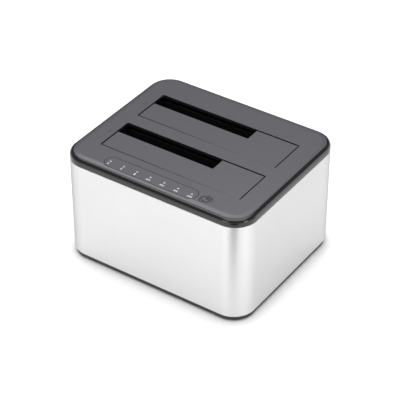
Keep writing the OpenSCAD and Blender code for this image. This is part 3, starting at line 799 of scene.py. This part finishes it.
@dataclass
class PowerButton:
    """Round button with a sunk power sign."""

    x: float = 35.0
    y: float = -45.9
    radius: float = 3.8
    high: float = 77.55
    flange: float = 0.8
    flange_low: float = 73.95
    flange_wall: float = 1.1
    stem: float = 1.5
    hole: float = 3.95
    edge: float = 0.45
    edge_steps: int = 4
    sign_radius: float = 2.25
    sign_line: float = 1.1
    sign_depth: float = 0.25
    sign_sink: float = 0.06
    sign_open: float = 70.0
    sign_stroke: Pair = (0.2, 2.6)
    sign_steps: int = 40

    def arc(self, name: str, low: float, high: float) -> Piece:
        """Spins an upright square into the open ring of the sign.

        Args:
            name: Name of the piece.
            low: Lower height.
            high: Upper height.

        Returns:
            The new piece.
        """
        half = self.sign_line / 2
        start = math.radians(90 + self.sign_open / 2)
        ring = self.x + self.sign_radius
        piece = block(name, (ring - half, self.y, low), (ring + half, self.y + PAST, high))
        with editing(piece, Pick.FACES, lambda middle, normal: normal.y > -ALONG):
            bpy.ops.mesh.delete(type="FACE")
        centre = (self.x * MM, self.y * MM, 0)
        with editing(piece, Pick.FACES, everything):
            bpy.ops.transform.rotate(value=-start, orient_axis="Z", center_override=centre)
            sweep = math.radians(360 - self.sign_open)
            bpy.ops.mesh.spin(steps=self.sign_steps, angle=sweep, center=centre, axis=(0, 0, 1))
        with editing(piece, Pick.FACES, everything):
            bpy.ops.mesh.remove_doubles(threshold=MERGE)
            bpy.ops.mesh.normals_make_consistent(inside=False)
        return piece

    def sign(self, name: str, low: float, high: float) -> Piece:
        """Models the sign: an open ring with a stroke in its gap.

        Args:
            name: Name of the piece.
            low: Lower height.
            high: Upper height.

        Returns:
            The new piece.
        """
        half = self.sign_line / 2
        near, far = self.sign_stroke
        piece = self.arc(name, low, high)
        fuse(piece, block("stroke", (self.x - half, self.y + near, low), (self.x + half, self.y + far, high)))
        return piece

    def build(self) -> None:
        """Models the button on its flange and stem, and fills its sign."""
        stem_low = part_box("power_button")[0].z / MM
        base = (self.x, self.y, self.flange_low)
        piece = drum("round_power_button", base, self.radius, self.high - self.flange_low)
        round_rim(piece, self.high, self.edge, self.edge_steps)
        fuse(
            piece,
            drum("flange", base, self.radius + self.flange, self.flange_wall),
            drum("stem", (self.x, self.y, stem_low), self.stem, self.flange_low - stem_low + ROOT),
        )
        cut(piece, self.sign("sign_cut", self.high - self.sign_depth, self.high + PAST))
        smooth(piece)
        dress(piece, SATIN_ABS, Body.BUTTON, "satin_grey", "power_button")
        fill = self.sign("power_sign", self.high - self.sign_depth, self.high - self.sign_sink)
        dress(fill, DARK_INK, Body.BUTTON, "satin_grey")


@dataclass
class TopPlate:
    """Satin plate with the two bay openings, the inlaid strip's bed and the bosses below."""

    row: IndicatorRow
    button: PowerButton
    half_width: float = 64.6
    half_depth: float = 53.1
    corner: float = 12.6
    corner_steps: int = 32
    low: float = 75.2
    high: float = 77.6
    shoulder: float = 3.0
    shoulder_fall: float = 0.46
    shoulder_slope: float = 0.12
    shoulder_steps: int = 8
    # Faces lower than this under the top face get black ABS as painted shade
    coat: float = 0.25
    edge: float = 0.15
    seat_gap: float = 0.15
    bed_gap: float = 0.22
    bed_sink: float = 0.02
    lip: float = 1.2
    channel_reach: float = 1.9
    bore: float = 0.77
    bore_half: float = 56.1
    hinge_boss: float = 4.4
    hinge_boss_x: float = 53.9
    hinge_boss_half: float = 2.0
    pillar: tuple[float, float, float] = (55.5, 44.0, 3.4)
    pillar_low: float = 5.0
    pillar_bore: float = 1.45
    pillar_depth: float = 16.0
    lug: Pair = (58.3, 3.2)
    lug_low: float = 72.2
    lug_depth: float = 4.0
    panel_boss: Pair = (43.6, 2.6)
    panel_low: float = 68.0
    panel_depth: float = 4.5
    pilot: float = 1.05
    mark_x: float = -55.2
    mark_size: float = 4.2
    mark_spread: float = 0.1

    def pegs(self) -> list[tuple[float, ...]]:
        """Lists the pegs under the plate.

        Returns:
            For each one its x, y, lower end, radius, pilot radius and pilot depth.
        """
        pegs = []
        for side in (-1, 1):
            for end in (-1, 1):
                x, y, radius = self.pillar
                pegs.append((side * x, end * y, self.pillar_low, radius, self.pillar_bore, self.pillar_depth))
            for bay in BAYS:
                x, radius = self.lug
                pegs.append((side * x, bay.middle, self.lug_low, radius, self.pilot, self.lug_depth))
            x, radius = self.panel_boss
            pegs.append((side * x, self.row.y, self.panel_low, radius, self.pilot, self.panel_depth))
        return pegs

    def drop(self, step: int) -> float:
        """Gives how far the shoulder lies below the flat face, from step nought at the plate's edge."""
        way = 1 - step / self.shoulder_steps
        slope = self.shoulder_slope * self.shoulder
        return way * (slope + (self.shoulder_fall - slope) * way)

    def inside(self, point: Vector) -> bool:
        """Tells whether a point, seen from above, lies within the shoulder's inner edge.

        Args:
            point: The point.

        Returns:
            True where it does.
        """
        past_x = max(abs(point.x) - self.half_width + self.corner, 0.0)
        past_y = max(abs(point.y) - self.half_depth + self.corner, 0.0)
        return math.hypot(past_x, past_y) < self.corner - self.shoulder

    def blank(self) -> Piece:
        """Models the plate without openings: its upper face rises from the edge in a soft shoulder.

        Returns:
            The new piece.
        """
        x, y = self.half_width, self.half_depth
        low, high = (-x, -y, self.low), (x, y, self.high - self.drop(0))
        piece = rounded_block("satin_top_plate", low, high, self.corner, self.corner_steps)
        with editing(piece, Pick.FACES, lambda middle, normal: normal.z > ALONG):
            for step in range(self.shoulder_steps):
                rise = self.drop(step) - self.drop(step + 1)
                bpy.ops.mesh.inset(thickness=self.shoulder / self.shoulder_steps * MM, depth=rise * MM)
        return piece

    def build(self) -> None:
        """Models the plate, its pegs and hinge bosses, and cuts the bays, the strip's bed and the bores."""
        piece = self.blank()
        for peg_x, peg_y, low, radius, pilot, depth in self.pegs():
            fuse(piece, drum("peg", (peg_x, peg_y, low), radius, self.low + ROOT - low, sides=PEG_SIDES))
            start = (peg_x, peg_y, low - PAST)
            cut(piece, drum("pilot_cut", start, pilot, depth + PAST, sides=PIN_SIDES))
        for bay in BAYS:
            self.cut_bay(piece, bay)
        bed = self.row.low - self.bed_sink
        cut(piece, self.row.capsule("bed_cut", self.bed_gap, bed, self.high + PAST))
        through = self.high - self.low + 2 * PAST
        for lamp in range(len(self.row.labels)):
            spot = (self.row.lamp_x(lamp), self.row.y, self.low - PAST)
            cut(piece, drum("pipe_cut", spot, self.row.hole + self.seat_gap, through, sides=HOLE_SIDES))
        spot = (self.button.x, self.button.y, self.low - PAST)
        cut(piece, drum("button_cut", spot, self.button.hole, through))
        soften(piece, self.edge, FINE_STEPS)
        smooth(piece)
        dress(piece, SATIN_ABS, Body.HOUSING, "satin_grey", "top_plate")
        painted_shade_top = self.high - self.coat
        # Painted shade: the walls of the bays, the holes and the strip's bed, and the faces below, are black
        paint_shade_on(piece, BLACK_ABS, lambda middle, normal: middle.z < painted_shade_top and self.inside(middle))
        for number, bay in enumerate(BAYS, 1):
            place = (self.mark_x, bay.middle, self.high)
            mark = printed(f"bay_mark_{number}", str(number), place, self.mark_size, self.mark_spread)
            dress(mark, TONE_INK, Body.HOUSING, "satin_grey")

    def cut_bay(self, piece: Piece, bay: Bay) -> None:
        """Adds one bay's hinge bosses and cuts its opening, hinge channel and pin bore.

        Args:
            piece: The plate.
            bay: The bay.
        """
        half = self.hinge_boss / 2
        for side in (-1, 1):
            middle = side * self.hinge_boss_x
            fuse(piece, block(
                "hinge_boss",
                (middle - self.hinge_boss_half, bay.hinge - half, bay.hinge_height - half),
                (middle + self.hinge_boss_half, bay.hinge + half, self.low + ROOT),
            ))
        low, high = self.low - PAST, self.high + PAST
        reach = bay.half + self.seat_gap
        pin = (-self.bore_half, bay.hinge, bay.hinge_height)
        cut(
            piece,
            rounded_block(
                "bay_cut", (-bay.half, bay.front, low), (bay.half, bay.back, high),
                bay.corner, bay.corner_steps,
            ),
            block(
                "channel_cut", (-reach, bay.hinge - self.channel_reach, low),
                (reach, bay.front + bay.corner, self.high - self.lip),
            ),
            drum("bore_cut", pin, self.bore, 2 * self.bore_half, Axis.X, PIN_SIDES),
        )


@dataclass
class Flap:
    """L-shaped flap that swings down into its bay, with the ribs, knuckles and stops below it."""

    bay: Bay
    high: float = 77.4
    low: float = 75.2
    gap: float = 0.5
    side_gap: float = 0.75
    askew: float = 0.35
    # Faces lower than this under the top face get black ABS as painted shade
    coat: float = 0.25
    rear_gap: float = 0.9
    edge: float = 0.2
    knuckle_length: float = 20.0
    knuckle_radius: float = 1.4
    pin_radius: float = 0.75
    bore: float = 0.8
    leaf: float = 2.4
    leaf_high: float = 76.0
    rib: float = 1.2
    rib_depth: float = 1.0
    rib_x: float = 34.33
    tab_length: float = 6.0
    tab_reach: float = 1.6
    tab_wall: float = 1.5
    tab_gap: float = 0.15

    def face(self) -> Piece:
        """Models the visible plate of the flap, which sits a little askew on its spring.

        Returns:
            The new piece, with its edges broken.
        """
        bay = self.bay
        end = bay.half - self.side_gap
        back = bay.back - self.rear_gap
        piece = block(f"{bay.name}_bay_flap", (-end, bay.front + self.gap, self.low), (end, back, self.high))
        slot_y = bay.back - bay.slot_width
        low, high = self.low - PAST, self.high + PAST
        cut(piece, block("slot_cut", (-end - PAST, slot_y, low), (bay.slot_end, back + PAST, high)))
        near = bay.front + self.gap + self.askew + NEAR
        for side in (-1, 1):
            with editing(piece, Pick.EDGES, lambda middle, way: (
                abs(way.z) > ALONG and middle.x * side > 0 and middle.y < near
            )):
                bpy.ops.transform.translate(value=(0, -side * self.askew * MM, 0))
        soften(piece, self.edge)
        return piece

    def tab(self, side: int, from_hinge: float) -> list[Piece]:
        """Models a stop tab that reaches under the top plate.

        Args:
            side: Minus one for the left end, one for the right end.
            from_hinge: Way from the hinge line to the tab.

        Returns:
            The tab's foot and its reach.
        """
        end = side * (self.bay.half - self.gap)
        y = self.bay.hinge + from_hinge
        low = self.low - self.tab_gap - self.tab_wall
        inner = min(end, end - side * self.tab_reach)
        back = y + self.tab_length
        return [
            block("tab", (end - self.tab_reach, y, low), (end + self.tab_reach, back, low + self.tab_wall)),
            block("tab_foot", (inner, y, low), (inner + self.tab_reach, back, self.low + ROOT)),
        ]

    def build(self) -> None:
        """Models the front flap with its hinge and copies it to the rear bay."""
        bay = self.bay
        piece = self.face()
        end = bay.half - self.gap
        slot_y = bay.back - bay.slot_width
        for x in (-end, -self.knuckle_length / 2, end - self.knuckle_length):
            pin = (x, bay.hinge, bay.hinge_height)
            fuse(
                piece,
                drum("knuckle", pin, self.knuckle_radius, self.knuckle_length, Axis.X, HOLE_SIDES),
                block(
                    "leaf", (x, bay.hinge, bay.hinge_height - self.pin_radius),
                    (x + self.knuckle_length, bay.front + self.leaf, self.leaf_high),
                ),
            )
        rib_low = self.low - self.rib_depth
        for x in (-self.rib_x, self.rib_x):
            fuse(piece, block(
                "rib", (x - self.rib / 2, bay.front + 2 * self.leaf, rib_low),
                (x + self.rib / 2, slot_y - self.rib, self.low + ROOT),
            ))
        fuse(
            piece,
            block(
                "long_rib", (-end + self.rib, slot_y - 2 * self.rib, rib_low),
                (end - self.rib, slot_y - self.rib, self.low + ROOT),
            ),
            *self.tab(-1, bay.width / 4),
            *self.tab(1, bay.width / 2),
        )
        pin = (-end - PAST, bay.hinge, bay.hinge_height)
        cut(piece, drum("bore_cut", pin, self.bore, 2 * (end + PAST), Axis.X, PIN_SIDES))
        smooth(piece)
        self.hang(piece, bay)
        self.hang(copied(piece, f"{BAYS[1].name}_bay_flap", (0, BAY_PITCH, 0)), BAYS[1])

    def hang(self, piece: Piece, bay: Bay) -> None:
        """Gives a flap its satin finish, painted shade in black ABS on its edges and underside, and the body
        of the bay that it shuts.
        """
        dress(piece, SATIN_ABS, bay.body, "satin_grey", f"{bay.name}_flap")
        # Painted shade: the flap's edges in its gaps and everything below them are black
        paint_shade_on(piece, BLACK_ABS, lambda middle, normal: middle.z < self.high - self.coat)


@dataclass
class FlapSpring:
    """Coiled wire round a hinge pin, with one leg on the well's wall and one under the flap."""

    coil_start: float = 14.0
    coil_end: float = 17.375
    wire: float = 0.25
    rounds: int = 2

    def build(self) -> None:
        """Rounds the wire of the front spring, from its node's mesh, and copies it to the rear bay."""
        front, rear = BAYS
        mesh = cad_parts[f"{front.name}_flap_spring"].data.copy()
        piece = bpy.data.objects.new(f"{front.name}_coil_spring", mesh)
        bpy.context.scene.collection.objects.link(piece)
        with editing(piece, Pick.FACES, everything):
            bpy.ops.mesh.remove_doubles(threshold=MERGE)
        finish_with(piece, "SUBSURF", levels=self.rounds, render_levels=self.rounds)
        smooth(piece)
        other = copied(piece, f"{rear.name}_coil_spring", (0, BAY_PITCH, 0))
        self.wind(piece, front)
        self.wind(other, rear)

    def wind(self, piece: Piece, bay: Bay) -> None:
        """Bakes a spring's place into its mesh and gives it its finish in place of its node.

        Args:
            piece: The spring.
            bay: The bay whose flap it shuts.
        """
        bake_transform(piece)
        coat(piece, WIRE, "steel", f"{bay.name}_flap_spring")


# Nodes that keep their shape and get a finer surface
NODE_FINISHES: dict[Finish, tuple[str, ...]] = {
    GRAIN_ABS: ("base_tray",),
    RUBBER: ("rubber_feet",),
    BLACK_ABS: (
        "front_drive_well", "rear_drive_well", "front_drive_socket", "rear_drive_socket",
        "dc_jack", "key_switch",
    ),
    STEEL: (
        "front_hinge_pin", "rear_hinge_pin", "usb_shell", "dc_pin",
        "case_screws", "well_screws", "board_screws", "indicator_screws",
    ),
    GOLD: ("drive_socket_contacts",),
    MASK: ("main_board", "indicator_board"),
    EPOXY: ("bridge_chips", "power_coils"),
    VINYL: ("capacitors",),
    BLUE_NYLON: ("usb_tongue",),
    ACRYLIC: ("light_guide",),
    IVORY: ("indicator_lamps", "key_plunger", "ribbon_sockets"),
    RIBBON: ("ribbon_cable",),
}


def paint_nodes() -> None:
    """Gives every node that stays in sight its finish."""
    for finish, names in NODE_FINISHES.items():
        for name in names:
            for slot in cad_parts[name].material_slots:
                slot.material = finish.material()
            LOG.info("%s: node, %s", name, finish.name)


# Stage


@dataclass
class Studio:
    """Pale floor, soft light and the camera at the photograph's angle."""

    aim: tuple[float, float, float] = (0.3, -1.2, 35.5)
    azimuth: float = 34.26
    elevation: float = 36.6
    distance: float = 995.9
    lens: float = 141.6
    sensor: float = 36.0
    clip: Pair = (50.0, 20000.0)
    lamp_distance: float = 1300.0
    sweep: float = 8000.0
    sweep_high: float = 400.0
    sweep_round: float = 300.0
    sweep_steps: int = 12
    paper: str = "#F2F2F2"
    fade: Pair = (500.0, 1500.0)
    card_near: float = 175.0
    card_far: float = 1200.0
    card_spread: float = 12.0
    card_height: Pair = (0.5, 1.5)
    glow: float = 0.23
    # Reach in millimetres of the painted contact shadow on the paper, and the power that sharpens it
    contact: float = 8.0
    contact_power: float = 2.0
    sky: float = 0.25

    def direction(self, azimuth: float, elevation: float) -> Vector:
        """Gives a unit vector by its degrees round the object from the front to the right, and its rise."""
        turn, rise = math.radians(azimuth), math.radians(elevation)
        return Vector((math.sin(turn) * math.cos(rise), -math.cos(turn) * math.cos(rise), math.sin(rise)))

    def build_camera(self) -> None:
        """Places the camera."""
        data = bpy.data.cameras.new("camera")
        data.lens = self.lens
        data.sensor_width = self.sensor
        data.clip_start, data.clip_end = self.clip[0] * MM, self.clip[1] * MM
        camera = bpy.data.objects.new("camera", data)
        away = self.direction(self.azimuth, self.elevation)
        camera.location = (Vector(self.aim) + away * self.distance) * MM
        camera.rotation_euler = away.to_track_quat("Z", "Y").to_euler()
        bpy.context.scene.collection.objects.link(camera)
        bpy.context.scene.camera = camera

    def build_floor(self) -> None:
        """Lays a round sweep of white paper, which keeps the object's shadow near by, deepened there by a
        painted contact shadow, and is white far off.
        """
        floor = drum("studio_floor", (0, 0, 0), self.sweep, self.sweep_high)
        round_rim(floor, 0, self.sweep_round, self.sweep_steps)
        with editing(floor, Pick.FACES, lambda middle, normal: normal.z > ALONG):
            bpy.ops.mesh.delete(type="FACE")
        smooth(floor)
        material = bpy.data.materials.new("white_paper")
        material.use_nodes = True
        tree = material.node_tree
        tree.nodes.clear()
        path = add(tree, "ShaderNodeLightPath").outputs
        # Painted contact shadow: the paper's glow, as the camera sees it, is dimmed by ambient occlusion
        # where the object stands close to it
        open_sky = add(tree, "ShaderNodeAmbientOcclusion", {"Distance": self.contact * MM}).outputs["AO"]
        open_sky = figure(tree, "POWER", open_sky, self.contact_power)
        seen = figure(tree, "MULTIPLY", path["Is Camera Ray"], open_sky)
        for ray in ("Is Glossy Ray", "Is Transmission Ray"):
            seen = figure(tree, "MAXIMUM", seen, path[ray])
        place = add(tree, "ShaderNodeTexCoord").outputs["Object"]
        away = add(tree, "ShaderNodeVectorMath", {0: place}, operation="LENGTH")
        near, far = self.fade
        level = add(
            tree, "ShaderNodeMapRange",
            {
                "Value": away.outputs["Value"], "From Min": near * MM, "From Max": far * MM,
                "To Min": self.glow, "To Max": 1.0,
            },
        )
        strength = figure(tree, "MULTIPLY", seen, level.outputs["Result"])
        paper = add(tree, "ShaderNodeBsdfDiffuse", {"Color": linear(self.paper)})
        glow = add(tree, "ShaderNodeEmission", {"Strength": strength})
        both = add(tree, "ShaderNodeAddShader", {0: paper.outputs[0], 1: glow.outputs[0]})
        add(tree, "ShaderNodeOutputMaterial", {"Surface": both.outputs[0]})
        floor.data.materials.append(material)

    def build_card(self) -> None:
        """Lays a black card out of the picture, which the near corner mirrors as a dark band."""
        near, far = self.card_near, self.card_far
        half = far * math.tan(math.radians(self.card_spread))
        low, high = self.card_height
        card = block("studio_card", (-half, -far, low), (half, -near, high))
        with editing(card, Pick.EDGES, lambda middle, way: abs(way.z) > ALONG and middle.y > -far / 2):
            bpy.ops.transform.resize(value=(near / far, 1, 1))
        with editing(card, Pick.FACES, everything):
            turn = -math.radians(self.azimuth)
            bpy.ops.transform.rotate(value=turn, orient_axis="Z", center_override=(0, 0, 0))
        card.data.materials.append(RUBBER.material())
        card.visible_camera = False
        card.visible_diffuse = False
        card.visible_shadow = False

    def build_world(self) -> None:
        """Sets the sky of the studio: an even soft grey."""
        world = bpy.data.worlds.new("studio")
        bpy.context.scene.world = world
        world.use_nodes = True
        tree = world.node_tree
        tree.nodes.clear()
        soft = add(tree, "ShaderNodeBackground", {"Color": linear("#FFFFFF"), "Strength": self.sky})
        add(tree, "ShaderNodeOutputWorld", {"Surface": soft.outputs[0]})

    def softbox(
        self, name: str, azimuth: float, elevation: float, size: Pair, level: float
    ) -> None:
        """Hangs a softbox that faces the object.

        Args:
            name: Name of the lamp.
            azimuth: Degrees round the object from the front.
            elevation: Degrees above the horizon.
            size: Width and height.
            level: Brightness of its face, where 1 is white.
        """
        data = bpy.data.lights.new(name, "AREA")
        data.shape = "RECTANGLE"
        data.size = size[0] * MM
        data.size_y = size[1] * MM
        data.energy = level * math.pi * data.size * data.size_y
        lamp = bpy.data.objects.new(name, data)
        way = self.direction(azimuth, elevation)
        lamp.location = way * self.lamp_distance * MM + Vector((0, 0, self.aim[2] * MM))
        lamp.rotation_euler = way.to_track_quat("Z", "Y").to_euler()
        bpy.context.scene.collection.objects.link(lamp)

    def build(self) -> None:
        """Sets up the camera, the floor, the card, the world and the lamps."""
        self.build_camera()
        self.build_floor()
        self.build_card()
        self.build_world()
        self.softbox("overhead_softbox", azimuth=self.azimuth, elevation=88, size=(1700, 1700), level=2.3)
        self.softbox("back_softbox", azimuth=-134, elevation=51, size=(900, 260), level=4.7)
        self.softbox("left_softbox", azimuth=-7, elevation=12, size=(560, 300), level=4.1)
        self.softbox("right_softbox", azimuth=78, elevation=12, size=(380, 300), level=5.4)
        self.softbox("side_softbox", azimuth=142, elevation=6, size=(700, 250), level=1.9)
        bpy.context.scene.view_settings.view_transform = "Standard"


def main() -> None:
    """Builds the docking station and its studio."""
    logging.basicConfig(level=logging.INFO, format="%(name)s: %(message)s")
    row = IndicatorRow()
    button = PowerButton()
    Shell().build()
    TopPlate(row, button).build()
    row.build()
    button.build()
    Flap(BAYS[0]).build()
    FlapSpring().build()
    paint_nodes()
    Studio().build()


if __name__ == "__main__":
    main()
